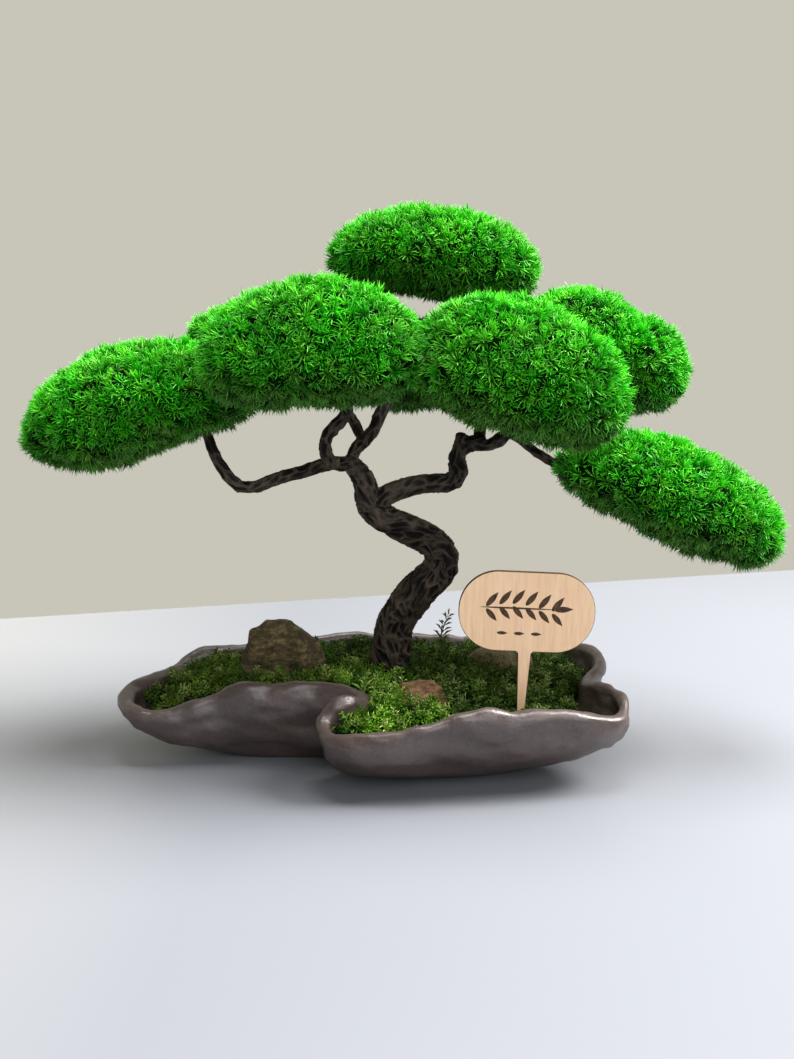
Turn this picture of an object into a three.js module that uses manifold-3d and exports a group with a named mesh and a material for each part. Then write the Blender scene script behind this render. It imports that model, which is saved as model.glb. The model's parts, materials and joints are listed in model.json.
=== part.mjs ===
// A bonsai tree in a free-form clay pot, in millimetres, +Z up.
// The origin is on the pot's flat foot, below the trunk. The tree's broad side faces -Y.
// The trunk stands in a bed of soil that sheet moss covers, and its branches end inside
// cushions of foliage. Every piece keeps a small clearance to the pieces that it touches.

import * as THREE from 'three';
import { mergeVertices } from 'three/addons/utils/BufferGeometryUtils.js';
import Module from 'manifold-3d';

const wasm = await Module();
wasm.setup();

// ---------------------------------------------------------------- driving dimensions

const CLEARANCE = 0.3; // gap between two pieces that touch

const POT_LENGTH = 266; // over the lobes of the rim, along X
const POT_WIDTH = 164; // over the lobes of the rim, along Y
const POT_HEIGHT = 47; // foot to the highest point of the rim
const POT_WALL = 7.5;
const POT_FLOOR = 8; // thickness of the clay under the soil
const FOOT_RATIO = 0.66; // the foot is this much of the rim's outline

const SOIL_CROWN = 35; // height of the soil at its middle
const SOIL_FALL = 9; // how much lower the soil lies at the pot's edge
const MOSS_DEPTH = 8; // thickness of the sheet moss at the middle

const CROWN_SPREAD = 407; // width of the crown, tip to tip
const CROWN_RISE = 257; // from the soil to the top of the highest cushion
const TRUNK_X = 5; // where the trunk leaves the soil
const TRUNK_Y = 0;
const TRUNK_RADIUS = 10.4; // just above the moss
const BRANCH_RADIUS = 4.9; // the main branch, where it leaves the trunk
const TWIG_RADIUS = 3.4;
const ROOT_ABOVE_FLOOR = 6; // soil left between the trunk's foot and the pot's floor

const TAG_WIDTH = 67;
const TAG_HEIGHT = 40;
const TAG_THICKNESS = 3;
const TAG_LEAN = 2.5; // degrees, clockwise from the front
const STAKE_TOP_WIDTH = 6.6;
const STAKE_TIP_WIDTH = 3;
const STAKE_LENGTH = 41; // below the board

// ---------------------------------------------------------------- solids and meshes

function toSolid(geometry) {
  geometry.deleteAttribute('normal');
  geometry.deleteAttribute('uv');
  const merged = mergeVertices(geometry, 1e-4);
  return new wasm.Manifold(new wasm.Mesh({
    numProp: 3,
    vertProperties: merged.attributes.position.array,
    triVerts: new Uint32Array(merged.index.array),
  }));
}

function toMesh(name, solid, look) {
  const mesh = solid.getMesh();
  const geometry = new THREE.BufferGeometry();
  geometry.setAttribute('position', new THREE.BufferAttribute(new Float32Array(mesh.vertProperties), 3));
  geometry.setIndex(new THREE.BufferAttribute(new Uint32Array(mesh.triVerts), 1));
  geometry.computeVertexNormals();
  const named = new THREE.Mesh(geometry, new THREE.MeshStandardMaterial({ ...look, metalness: 0 }));
  named.name = name;
  return named;
}

// Moves every vertex of a geometry to the place that a function gives for it.
function reshape(geometry, place) {
  const position = geometry.attributes.position;
  const vertex = new THREE.Vector3();
  for (let i = 0; i < position.count; i += 1) {
    vertex.fromBufferAttribute(position, i);
    place(vertex, i);
    position.setXYZ(i, vertex.x, vertex.y, vertex.z);
  }
  return geometry;
}

// ---------------------------------------------------------------- the pot

// The outer edge of the rim, counter-clockwise from above, with the rim's height at each
// point. The left lobe's wall turns in behind the curled end of the front lobe.
const RIM = [
  [127, 14, 46], [123, -6, 44], [115, -18, 41], [114, -27, 42], [121, -38, 44], [127, -52, 42],
  [124, -67, 38], [112, -77, 39], [97, -80, 42], [83, -83, 44], [66, -85, 42], [50, -89, 47],
  [33, -89, 43], [14, -92, 37], [-6, -91, 35], [-19, -87, 33], [-28, -79, 33], [-31, -69, 36],
  [-27, -62, 43], [-20, -60, 47], [-14, -57, 45], [-12, -50, 42], [-20, -43, 43], [-38, -40, 45],
  [-54, -41, 43], [-67, -42, 45], [-84, -41, 40], [-101, -44, 34], [-118, -47, 31],
  [-132, -40, 32], [-139, -25, 34], [-138, -10, 37], [-128, 3, 38], [-121, 16, 38],
  [-112, 31, 41], [-90, 45, 43], [-60, 60, 42], [-24, 71, 43], [10, 72, 41], [41, 66, 43],
  [60, 66, 43], [82, 60, 45], [104, 52, 45], [120, 36, 46],
].reverse();

const SAMPLES_PER_POINT = 2;

function rimOutline() {
  const drawn = new THREE.CatmullRomCurve3(RIM.map((p) => new THREE.Vector3(...p)), true, 'centripetal');
  const points = drawn.getPoints(RIM.length * SAMPLES_PER_POINT).slice(0, -1);
  const size = new THREE.Box3().setFromPoints(points).getSize(new THREE.Vector3());
  const top = Math.max(...points.map((p) => p.z));
  const fit = new THREE.Vector3(POT_LENGTH / size.x, POT_WIDTH / size.y, POT_HEIGHT / top);
  return points.map((p) => p.multiply(fit));
}

const rim = rimOutline();
const SPOKES = rim.length;
const around = (i) => (i + SPOKES) % SPOKES;

// The foot follows the rim's lobes softly: each point is the mean of its neighbours.
const FOOT_SOFTNESS = 6; // samples on each side
const foot = rim.map((_, i) => {
  const mean = new THREE.Vector3();
  for (let step = -FOOT_SOFTNESS; step <= FOOT_SOFTNESS; step += 1) mean.add(rim[around(i + step)]);
  return mean.multiplyScalar(FOOT_RATIO / (2 * FOOT_SOFTNESS + 1));
});

// A point of the wall: share 0 is on the foot's outline and 1 on the rim's, and inset is
// how far it lies inside the outer surface, square to the outline there.
function wallPoint(spoke, share, inset, z) {
  const onOutline = (i) => foot[around(i)].clone().lerp(rim[around(i)], share);
  const along = onOutline(spoke + 1).sub(onOutline(spoke - 1));
  const outward = new THREE.Vector3(along.y, -along.x, 0).normalize();
  return onOutline(spoke).addScaledVector(outward, -inset).setZ(z);
}

// A closed body of rings, from a point on the axis to another: a lathe shape whose rings
// are laid on the pot's outlines. Each ring is a function of the spoke. A body that is
// listed from its top down has its faces turned round, so that they still point outward.
function ringBody(firstZ, rings, lastZ, isTopDown = false) {
  const profile = [new THREE.Vector2(0, 0)];
  rings.forEach((_, i) => profile.push(new THREE.Vector2(1, i + 1)));
  profile.push(new THREE.Vector2(0, rings.length + 1));
  const lathe = new THREE.LatheGeometry(profile, SPOKES);
  if (isTopDown) lathe.index.array.reverse();
  const rows = profile.length;
  return toSolid(reshape(lathe, (vertex, i) => {
    const row = i % rows;
    const spoke = Math.floor(i / rows) % SPOKES;
    if (row === 0) vertex.set(0, 0, firstZ);
    else if (row === rows - 1) vertex.set(0, 0, lastZ);
    else vertex.copy(rings[row - 1](spoke));
  }));
}

const ring = (share, inset, rise) => (spoke) => wallPoint(spoke, share, inset, rise * rim[spoke].z);
const level = (share, inset, z) => (spoke) => wallPoint(spoke, share, inset, z);

function potSolid() {
  return ringBody(0, [
    level(0, 0, 0),
    ring(0.06, 0, 0.05),
    ring(0.4, 0, 0.2),
    ring(0.74, 0, 0.42),
    ring(0.93, 0, 0.64),
    ring(1, 0, 0.84),
    ring(1, 0.12 * POT_WALL, 0.95),
    ring(1, 0.5 * POT_WALL, 1),
    ring(1, 0.88 * POT_WALL, 0.95),
    ring(1, POT_WALL, 0.84),
    ring(0.9, POT_WALL, 0.62),
    ring(0.66, POT_WALL, 0.4),
    level(0.3, POT_WALL, POT_FLOOR),
  ], POT_FLOOR);
}

// What the pot can hold, carried straight up past the rim. The wall leans, so it takes two
// clearances along the level to leave one square to it.
function potContents() {
  const inset = POT_WALL + 2 * CLEARANCE;
  const above = 2 * POT_HEIGHT;
  return ringBody(above + POT_WALL, [
    level(0.3, inset, above + POT_WALL),
    level(1, inset, above),
    ring(1, inset, 0.84),
    ring(0.9, inset, 0.62),
    ring(0.66, inset, 0.4),
    level(0.3, inset, POT_FLOOR + CLEARANCE),
  ], POT_FLOOR + CLEARANCE, true);
}

// ---------------------------------------------------------------- soil and moss

const edgeShare = (x, y) => Math.hypot(x / (POT_LENGTH / 2), y / (POT_WIDTH / 2));

// The moss leaves the right lobe and the left tip bare, like shallow cups. Each entry is
// the middle of one, in shares of the pot's half length and half width, and its radius.
const BARE_CUPS = [
  { at: [0.865, -0.62], radius: 13 },
  { at: [0.865, -0.36], radius: 12 },
  { at: [-1, -0.36], radius: 12 },
];
const CUP_IN_SOIL = 5; // how much lower the soil lies in the middle of a cup
const CUP_IN_MOSS = 18; // how much the moss thins there, more than its own depth

const cupShare = (x, y) => BARE_CUPS.reduce((sum, { at, radius }) => {
  const away = Math.hypot(x - at[0] * (POT_LENGTH / 2), y - at[1] * (POT_WIDTH / 2));
  return sum + Math.exp(-((away / radius) ** 2));
}, 0);

function soilHeight(x, y) {
  const fall = SOIL_FALL * Math.min(edgeShare(x, y), 1.2) ** 3;
  return SOIL_CROWN - fall - CUP_IN_SOIL * cupShare(x, y);
}

// The moss is thinner at the pot's edge, and lies in low hummocks.
function mossHeight(x, y) {
  const depth = MOSS_DEPTH * (1 - 0.45 * Math.min(edgeShare(x, y), 1.1) ** 4);
  const hummocks = 1.6 * Math.sin(x / 11 + 0.6) * Math.cos(y / 9) + 1.1 * Math.sin((x + y) / 17);
  return soilHeight(x, y) + depth + hummocks - CUP_IN_MOSS * cupShare(x, y);
}

// Everything below a surface z = height(x, y), over an area wider than the pot.
function groundBelow(height, segments, rings) {
  const profile = [new THREE.Vector2(0, 0)];
  for (let i = 0; i <= rings; i += 1) profile.push(new THREE.Vector2(1 - i / rings, 1));
  const lathe = new THREE.LatheGeometry(profile.toSpliced(1, 0, new THREE.Vector2(1, 0)), segments);
  lathe.rotateX(Math.PI / 2);
  return toSolid(reshape(lathe, (vertex) => {
    const isTop = vertex.z > 0.5;
    vertex.x *= 0.62 * POT_LENGTH;
    vertex.y *= 0.68 * POT_WIDTH;
    vertex.z = isTop ? height(vertex.x, vertex.y) : -POT_HEIGHT;
  }));
}

const soilGround = (rise) => groundBelow((x, y) => soilHeight(x, y) + rise, 40, 7);
const mossGround = () => groundBelow(mossHeight, 48, 8);

// The moss was laid in pieces that meet along lines out from the trunk, in degrees
// counter-clockwise from +X. Each entry is [name, first line, second line, colour].
const MOSS_PIECES = [
  ['moss_right', -62, 12, '#4d7a1c'],
  ['moss_back', 12, 150, '#2f5518'],
  ['moss_left', 150, 228, '#3a641a'],
  ['moss_front', 228, 298, '#6b9a26'],
];

function mossSector(fromDegrees, toDegrees) {
  const from = THREE.MathUtils.degToRad(fromDegrees);
  const to = THREE.MathUtils.degToRad(toDegrees);
  const middle = (from + to) / 2;
  const tip = CLEARANCE / 2 / Math.sin((to - from) / 2);
  const reach = 2 * POT_LENGTH;
  const tipX = TRUNK_X + tip * Math.cos(middle);
  const tipY = TRUNK_Y + tip * Math.sin(middle);
  const sector = new THREE.Shape();
  sector.moveTo(tipX, tipY);
  [from, middle, to].forEach((angle) => {
    sector.lineTo(tipX + reach * Math.cos(angle), tipY + reach * Math.sin(angle));
  });
  sector.closePath();
  return toSolid(new THREE.ExtrudeGeometry(sector, { depth: 3 * POT_HEIGHT, bevelEnabled: false }));
}

// ---------------------------------------------------------------- trunk and branches

const ROOT_DEPTH = SOIL_CROWN - POT_FLOOR - ROOT_ABOVE_FLOOR;

// The tree is drawn at this spread and rise, from the point where the trunk leaves the soil.
const DRAWN_SPREAD = 407;
const DRAWN_RISE = 257;
const spreadScale = CROWN_SPREAD / DRAWN_SPREAD;
const riseScale = CROWN_RISE / DRAWN_RISE;

function treePoint([x, y, z]) {
  return new THREE.Vector3(
    TRUNK_X + x * spreadScale,
    TRUNK_Y + y * spreadScale,
    SOIL_CROWN + (z > 0 ? z * riseScale : z),
  );
}

// A tapering limb: a cylinder bent along a smooth curve. radii holds one radius per point,
// and twist winds shallow ribs round it, as old wood has.
function limb({ points, radii, sides = 9, steps = 12, twist = 0 }, grow = 0) {
  const curve = new THREE.CatmullRomCurve3(points.map(treePoint), false, 'centripetal');
  const frames = curve.computeFrenetFrames(steps, false);
  const geometry = new THREE.CylinderGeometry(1, 1, steps, sides, steps);
  return toSolid(reshape(geometry, (vertex) => {
    const step = Math.round(vertex.y + steps / 2);
    const along = step / steps;
    const at = curve.getUtoTmapping(along) * (points.length - 1);
    const index = Math.min(Math.floor(at), points.length - 2);
    const radius = THREE.MathUtils.lerp(radii[index], radii[index + 1], at - index);
    const angle = Math.atan2(vertex.z, vertex.x);
    const ribs = twist === 0 ? 1 : 1 + 0.07 * Math.cos(3 * angle + twist * along);
    const reach = Math.hypot(vertex.x, vertex.z) * (radius * ribs + grow);
    const overrun = grow * (Number(along === 1) - Number(along === 0));
    vertex.copy(curve.getPointAt(along));
    vertex.addScaledVector(frames.normals[step], reach * Math.cos(angle));
    vertex.addScaledVector(frames.binormals[step], -reach * Math.sin(angle));
    vertex.addScaledVector(frames.tangents[step], overrun);
  }));
}

const thick = (share) => share * TRUNK_RADIUS;
const branch = (share) => share * BRANCH_RADIUS;
const twig = (share) => share * TWIG_RADIUS;

const LIMBS = [
  { // the trunk, an S that leans right, turns back left and ends in the first fork
    points: [
      [4, 0, -ROOT_DEPTH], [3, 0, -6], [2, 0, 5], [1.5, 0, 17], [2, 0, 30], [7.5, -1, 41], [17.5, -2, 53],
      [26, -2, 60], [29, -1, 67.5], [26, 0, 75], [16, 1, 81], [5, 1, 86], [-6, 0, 91.5],
      [-12, 0, 98], [-12.5, 0, 105], [-14, 0, 111], [-18, 0, 117], [-24, -2, 121.5],
    ],
    radii: [
      thick(1.45), thick(1.4), thick(1.12), thick(1), thick(0.96), thick(0.96), thick(0.94),
      thick(0.9), thick(0.87), thick(0.82), thick(0.77), thick(0.73), thick(0.7),
      thick(0.68), thick(0.6), thick(0.57), thick(0.52), thick(0.38),
    ],
    sides: 12, steps: 36, twist: 13,
  },
  { // the long low branch to the left, turned up at its end
    points: [
      [-16, 0, 116], [-24, -4, 120.5], [-35, -5, 119.5], [-45, -5, 116], [-55, -5, 113.5],
      [-68, -5, 109], [-75, -5, 106.5], [-82, -5, 109], [-88, -4, 116.5], [-93, -3, 125],
      [-96, -1, 133], [-99, 1, 144],
    ],
    radii: [
      twig(1.05), twig(1.15), twig(1.1), twig(1.05), twig(1), twig(1.02), twig(1.05),
      twig(1), twig(0.95), twig(0.9), twig(0.82), twig(0.7),
    ],
    sides: 7, steps: 13,
  },
  { // the twig into the left front cushion
    points: [
      [-22, -1, 119], [-31, -7, 121], [-33.5, -11, 128], [-33, -13, 134], [-28.5, -15, 140],
      [-22.5, -18, 146.5], [-21, -26, 158], [-24, -32, 168],
    ],
    radii: [twig(1), twig(1.05), twig(1), twig(1.05), twig(1.05), twig(1), twig(0.9), twig(0.7)],
    sides: 7, steps: 12,
  },
  { // the twig that runs up and back into the back centre cushion
    points: [
      [-19, 1, 117], [-20, 4, 124.5], [-15.5, 6, 129.5], [-10.5, 7, 134], [-7, 8, 141],
      [-3, 12, 149], [3, 26, 158], [10, 38, 164],
    ],
    radii: [twig(1), twig(1.08), twig(1.12), twig(1.1), twig(1.05), twig(1), twig(0.9), twig(0.7)],
    sides: 7, steps: 12,
  },
  { // the twig into the back left cushion
    points: [
      [-13, 6, 130.5], [-15, 8, 133], [-18, 10, 138.5], [-21.5, 13, 144.5], [-33, 22, 156],
      [-52, 34, 168],
    ],
    radii: [twig(0.8), twig(0.9), twig(0.9), twig(0.85), twig(0.8), twig(0.65)],
    sides: 7, steps: 9,
  },
  { // the main branch to the right, with a kink up at its end
    points: [
      [-13, 0, 95], [-4, 2, 101], [7, 4, 105.5], [20, 5, 108.5], [33, 5, 109], [37.5, 5, 113.5],
      [36, 5, 121.5], [38, 4, 127.5], [45, 2, 130.5], [51, 0, 132],
    ],
    radii: [
      branch(1.1), branch(1.12), branch(1.08), branch(1.02), branch(1.1), branch(1.08),
      branch(1), branch(0.95), branch(0.9), branch(0.72),
    ],
    sides: 9, steps: 18,
  },
  { // a short stub where a shoot was cut away
    points: [[35, 4, 122], [37.5, 3.5, 128], [38.5, 2, 135.5]],
    radii: [twig(1.1), twig(1.1), twig(0.85)],
    sides: 7, steps: 3,
  },
  { // the twig that runs up behind the right front cushion to the topmost one
    points: [
      [43, 3, 129], [48, 7, 132], [49, 10, 138], [51, 15, 146], [54, 22, 158], [51, 28, 178],
      [44, 33, 200], [36, 37, 219],
    ],
    radii: [twig(1), twig(1), twig(0.98), twig(0.95), twig(0.9), twig(0.85), twig(0.8), twig(0.65)],
    sides: 7, steps: 13,
  },
  { // its side shoot to the right back cushion
    points: [[51, 15, 147], [58, 20, 154], [72, 28, 163], [90, 38, 171]],
    radii: [twig(0.85), twig(0.85), twig(0.8), twig(0.65)],
    sides: 7, steps: 6,
  },
  { // the twig into the right front cushion
    points: [
      [43, 2, 130], [50, -1, 129.5], [57, -5, 131.5], [62, -10, 137], [65, -18, 148],
      [66, -27, 158],
    ],
    radii: [twig(1), twig(0.95), twig(0.95), twig(0.9), twig(0.85), twig(0.65)],
    sides: 7, steps: 9,
  },
  { // the twig down to the right low cushion
    points: [
      [55, -3, 131.5], [61, -5, 136], [66.5, -6, 135], [73, -7, 130], [81, -8, 124],
      [89, -9, 120], [100, -9, 117], [112, -9, 113],
    ],
    radii: [twig(0.7), twig(0.8), twig(0.8), twig(0.78), twig(0.75), twig(0.72), twig(0.7), twig(0.6)],
    sides: 7, steps: 12,
  },
];

const trunkSolid = (grow = 0) => LIMBS.map((one) => limb(one, grow)).reduce((all, one) => all.add(one));

// ---------------------------------------------------------------- foliage cushions

// Each cushion: name, middle from the trunk's foot as the limbs are, [length along X,
// depth along Y, thickness], tilt in degrees with the right end up, and the droop of its ends.
const CUSHIONS = [
  ['foliage_left_front', [-38, -35, 178], [114, 88, 65], 3, 4],
  ['foliage_right_front', [65, -35, 167], [114, 86, 66], -17, 5],
  ['foliage_top', [26, 40, 228], [120, 90, 50], -5, 5],
  ['foliage_right_back', [122, 46, 178], [101, 84, 56], -26, 3],
  ['foliage_left_low', [-132, 5, 148], [128, 92, 63], 10, 6],
  ['foliage_right_low', [148, -8, 103], [133, 88, 52], -23, 4],
  ['foliage_back_left', [-70, 44, 180], [98, 68, 50], 4, 3],
  ['foliage_back_centre', [14, 54, 168], [100, 74, 50], 0, 3],
];

const PLUMPNESS = 2.35; // 2 would be an ellipsoid, and more is fuller at the shoulders
const CROWN_SHARE = 0.56; // how much of a cushion's thickness is above its widest line

function cushionSolid([, middle, [length, depth, thickness], tilt, droop], grow = 0) {
  const halfLength = (length * spreadScale) / 2;
  const halfDepth = (depth * spreadScale) / 2;
  const crown = thickness * riseScale * CROWN_SHARE;
  const belly = thickness * riseScale * (1 - CROWN_SHARE);
  const centre = treePoint(middle);
  const geometry = new THREE.SphereGeometry(1, 20, 9);
  geometry.rotateX(Math.PI / 2);
  reshape(geometry, (vertex) => {
    const powers = [vertex.x, vertex.y, vertex.z].map((one) => Math.abs(one) ** PLUMPNESS);
    vertex.multiplyScalar((powers[0] + powers[1] + powers[2]) ** (-1 / PLUMPNESS));
    const fall = droop * riseScale * vertex.x ** 2;
    vertex.x *= halfLength + grow;
    vertex.y *= halfDepth + grow;
    vertex.z *= (vertex.z > 0 ? crown : belly) + grow;
    vertex.z -= fall;
  });
  geometry.rotateY(-THREE.MathUtils.degToRad(tilt));
  geometry.translate(centre.x, centre.y, centre.z);
  return toSolid(geometry);
}

// ---------------------------------------------------------------- stones

// Places are shares of the pot's half length and half width. up is the height of the
// stone's top above the soil, and fall is how much of it the right end lacks.
const STONES = [
  { name: 'stone_left', at: [-0.395, 0.06], size: [52, 33], up: 36, fall: 0.4, turn: 6, seed: 1.3 },
  { name: 'stone_front', at: [0.16, -0.47], size: [30, 18], up: 13, fall: 0.3, turn: -12, seed: 4.1 },
  { name: 'stone_right', at: [0.5, 0.1], size: [37, 24], up: 18, fall: 0.1, turn: -6, seed: 2.2 },
];

const BLOCKINESS = 2.7; // 2 would be a round pebble, and more is squarer

function stoneSolid({ at, size, up, fall, turn, seed }, grow = 0) {
  const [x, y] = [at[0] * (POT_LENGTH / 2), at[1] * (POT_WIDTH / 2)];
  const geometry = new THREE.IcosahedronGeometry(1, 2);
  reshape(geometry, (vertex) => {
    const powers = [vertex.x, vertex.y, vertex.z].map((one) => Math.abs(one) ** BLOCKINESS);
    vertex.multiplyScalar((powers[0] + powers[1] + powers[2]) ** (-1 / BLOCKINESS));
    const chips = Math.sin(3.1 * vertex.x + seed) * Math.cos(2.7 * vertex.y - seed);
    const radius = 1 + 0.07 * (chips + Math.sin(4.3 * vertex.z + 2 * seed));
    const lower = 1 - (fall * (1 + vertex.x)) / 2;
    vertex.x *= (size[0] / 2) * radius + grow;
    vertex.y *= (size[1] / 2) * radius + grow;
    vertex.z *= up * lower * radius + grow;
  });
  geometry.rotateZ(THREE.MathUtils.degToRad(turn));
  geometry.translate(x, y, soilHeight(x, y));
  return toSolid(geometry);
}

// ---------------------------------------------------------------- plant tag

const TAG_X_SHARE = 0.527; // of the pot's half length
const TAG_Y_SHARE = -0.715; // of the pot's half width
const STAKE_TIP_HEIGHT = 27;

function tagSolid(grow = 0) {
  const halfWidth = TAG_WIDTH / 2 + grow;
  const halfHeight = TAG_HEIGHT / 2 + grow;
  const corner = halfHeight * 0.96;
  const boardMiddle = STAKE_LENGTH + TAG_HEIGHT / 2;
  const low = boardMiddle - halfHeight;
  const high = boardMiddle + halfHeight;
  const outline = new THREE.Shape();
  outline.moveTo(-STAKE_TIP_WIDTH / 2 - grow, -grow);
  outline.lineTo(STAKE_TIP_WIDTH / 2 + grow, -grow);
  outline.lineTo(STAKE_TOP_WIDTH / 2 + grow, low - 1);
  outline.lineTo(STAKE_TOP_WIDTH / 2 + grow + 1, low);
  outline.lineTo(halfWidth - corner, low);
  outline.absarc(halfWidth - corner, low + corner, corner, -Math.PI / 2, 0, false);
  outline.absarc(halfWidth - corner, high - corner, corner, 0, Math.PI / 2, false);
  outline.absarc(corner - halfWidth, high - corner, corner, Math.PI / 2, Math.PI, false);
  outline.absarc(corner - halfWidth, low + corner, corner, Math.PI, 1.5 * Math.PI, false);
  outline.lineTo(-STAKE_TOP_WIDTH / 2 - grow - 1, low);
  outline.lineTo(-STAKE_TOP_WIDTH / 2 - grow, low - 1);
  outline.closePath();
  const thickness = TAG_THICKNESS + 2 * grow;
  const cut = { depth: thickness, bevelEnabled: false, curveSegments: 8 };
  const geometry = new THREE.ExtrudeGeometry(outline, cut);
  geometry.translate(0, 0, -thickness / 2);
  geometry.rotateX(Math.PI / 2);
  geometry.rotateY(THREE.MathUtils.degToRad(TAG_LEAN));
  geometry.translate(TAG_X_SHARE * (POT_LENGTH / 2), TAG_Y_SHARE * (POT_WIDTH / 2), STAKE_TIP_HEIGHT);
  return toSolid(geometry);
}

// ---------------------------------------------------------------- the assembly

const CLAY = { color: '#4b3c3a', roughness: 0.55 };
const SOIL = { color: '#2b1d14', roughness: 1 };
const WOOD = { color: '#2a1d18', roughness: 0.8 };
const NEEDLES = { color: '#2f9a12', roughness: 0.9 };
const ROCK = { color: '#5a4a30', roughness: 0.9 };
const BIRCH = { color: '#dcb78c', roughness: 0.6 };

const contents = potContents();
const trunkSleeve = trunkSolid(CLEARANCE);
const tagSleeve = tagSolid(CLEARANCE);
const sunk = trunkSleeve.add(tagSleeve);
const soilTop = soilGround(CLEARANCE);
const stoneSleeves = STONES.map((one) => stoneSolid(one, CLEARANCE)).reduce((all, one) => all.add(one));

const bonsai = new THREE.Group();
bonsai.name = 'bonsai';

bonsai.add(toMesh('pot', potSolid(), CLAY));
bonsai.add(toMesh('soil', contents.intersect(soilGround(0)).subtract(sunk), SOIL));

const mossLayer = contents.intersect(mossGround()).subtract(soilTop).subtract(sunk).subtract(stoneSleeves);
MOSS_PIECES.forEach(([name, from, to, color]) => {
  const piece = mossLayer.intersect(mossSector(from, to));
  bonsai.add(toMesh(name, piece, { color, roughness: 1 }));
});

STONES.forEach((stone) => {
  bonsai.add(toMesh(stone.name, stoneSolid(stone).subtract(soilTop), ROCK));
});

bonsai.add(toMesh('trunk', trunkSolid(), WOOD));

CUSHIONS.forEach((cushion, i) => {
  const nearer = CUSHIONS.slice(0, i).map((one) => cushionSolid(one, CLEARANCE));
  const solid = [trunkSleeve, ...nearer].reduce((left, one) => left.subtract(one), cushionSolid(cushion));
  bonsai.add(toMesh(cushion[0], solid, NEEDLES));
});

bonsai.add(toMesh('plant_tag', tagSolid(), BIRCH));

export default bonsai;
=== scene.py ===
# %% [markdown]
# # A bonsai in a free-form clay dish
# The CAD model is the frame: it says where the dish, the trunk, the cushions, the stones
# and the tag are. This lesson makes the surfaces that the eye sees. Each piece starts from
# its CAD node, which gives it its place and size. Only two shoots of moss, the dents in
# the cushions and the middle lines of the branches are set down one by one.

# %% Load the frame
import json
import math
import random
from functools import partial

import bmesh
import bpy
from mathutils import Matrix, Vector, noise
from mathutils.kdtree import KDTree

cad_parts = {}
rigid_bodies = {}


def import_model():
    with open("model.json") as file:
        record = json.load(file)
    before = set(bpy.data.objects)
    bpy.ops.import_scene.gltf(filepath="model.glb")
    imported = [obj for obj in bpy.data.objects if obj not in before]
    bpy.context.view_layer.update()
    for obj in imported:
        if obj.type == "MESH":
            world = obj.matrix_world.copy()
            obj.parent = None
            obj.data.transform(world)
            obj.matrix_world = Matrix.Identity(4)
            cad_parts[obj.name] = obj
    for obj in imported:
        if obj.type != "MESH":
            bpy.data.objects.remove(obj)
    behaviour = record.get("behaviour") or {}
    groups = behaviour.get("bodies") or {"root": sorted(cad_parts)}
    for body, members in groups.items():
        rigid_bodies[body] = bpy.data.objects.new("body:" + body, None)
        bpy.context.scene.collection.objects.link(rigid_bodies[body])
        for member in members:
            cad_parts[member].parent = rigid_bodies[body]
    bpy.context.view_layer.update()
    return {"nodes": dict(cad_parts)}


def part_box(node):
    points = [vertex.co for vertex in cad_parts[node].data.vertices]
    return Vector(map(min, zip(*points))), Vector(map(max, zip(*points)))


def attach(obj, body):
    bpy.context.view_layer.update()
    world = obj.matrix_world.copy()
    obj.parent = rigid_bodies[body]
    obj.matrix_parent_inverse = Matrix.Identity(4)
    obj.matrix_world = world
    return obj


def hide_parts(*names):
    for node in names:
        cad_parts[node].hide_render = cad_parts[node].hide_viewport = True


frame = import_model()
MM = 0.001
noise.seed_set(5)  # without a seed, noise_vector takes the clock's, and differs in each run

# %% [markdown]
# ## Working with meshes
# A CAD node is a set of loose triangles, and it stays as it is. A new piece starts from a
# merged copy of one. Modifiers do the heavy work, and their result is baked into the mesh,
# so that the mesh itself holds the finished shape.


# %% Mesh helpers
MERGE_DISTANCE = 0.01 * MM


def new_piece(name, bm):
    """Turns a bmesh into an object in the scene, and frees the bmesh."""
    mesh = bpy.data.meshes.new(name)
    bm.to_mesh(mesh)
    bm.free()
    piece = bpy.data.objects.new(name, mesh)
    bpy.context.scene.collection.objects.link(piece)
    return piece


def merged_bmesh(node):
    bm = bmesh.new()
    bm.from_mesh(frame["nodes"][node].data)
    bmesh.ops.remove_doubles(bm, verts=bm.verts, dist=MERGE_DISTANCE)
    return bm


def merged_copy(node, name):
    return new_piece(name, merged_bmesh(node))


def bake_modifiers(piece):
    """Puts the result of the modifiers into the mesh and clears them."""
    depsgraph = bpy.context.evaluated_depsgraph_get()
    baked = bpy.data.meshes.new_from_object(piece.evaluated_get(depsgraph))
    piece.modifiers.clear()
    piece.data = baked
    return piece


def voxel_remesh(piece, size, smooth_passes=2):
    remesh = piece.modifiers.new("Remesh", "REMESH")
    remesh.mode = "VOXEL"
    remesh.voxel_size = size
    smooth = piece.modifiers.new("Smooth", "SMOOTH")
    smooth.iterations = smooth_passes
    return bake_modifiers(piece)


def push_out(piece, amount):
    """Moves every vertex along its normal by amount(place), with all normals read first."""
    mesh = piece.data
    moves = [vertex.normal * amount(vertex.co) for vertex in mesh.vertices]
    for vertex, move in zip(mesh.vertices, moves):
        vertex.co += move
    mesh.update()


def shade_smooth(piece):
    piece.data.shade_smooth()


def finish_piece(piece, nodes, slot, *materials):
    """Gives a piece its materials, hides the CAD nodes it stands for and hangs it on the root body.
    """
    for material in materials:
        piece.data.materials.append(material)
    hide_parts(*nodes)
    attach(piece, "root")
    triangles = sum(len(polygon.vertices) - 2 for polygon in piece.data.polygons)
    print(piece.name, "has", triangles, "triangles")


# %% [markdown]
# ## Small tools for materials
# Every material here is a Principled shader fed by procedural textures on Object
# coordinates, which are metres, so a noise scale of 100 has features about a centimetre wide.


# %% Material helpers
BLACK = (0, 0, 0)
WHITE = (1, 1, 1)


def grey(value):
    return (value, value, value)


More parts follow.
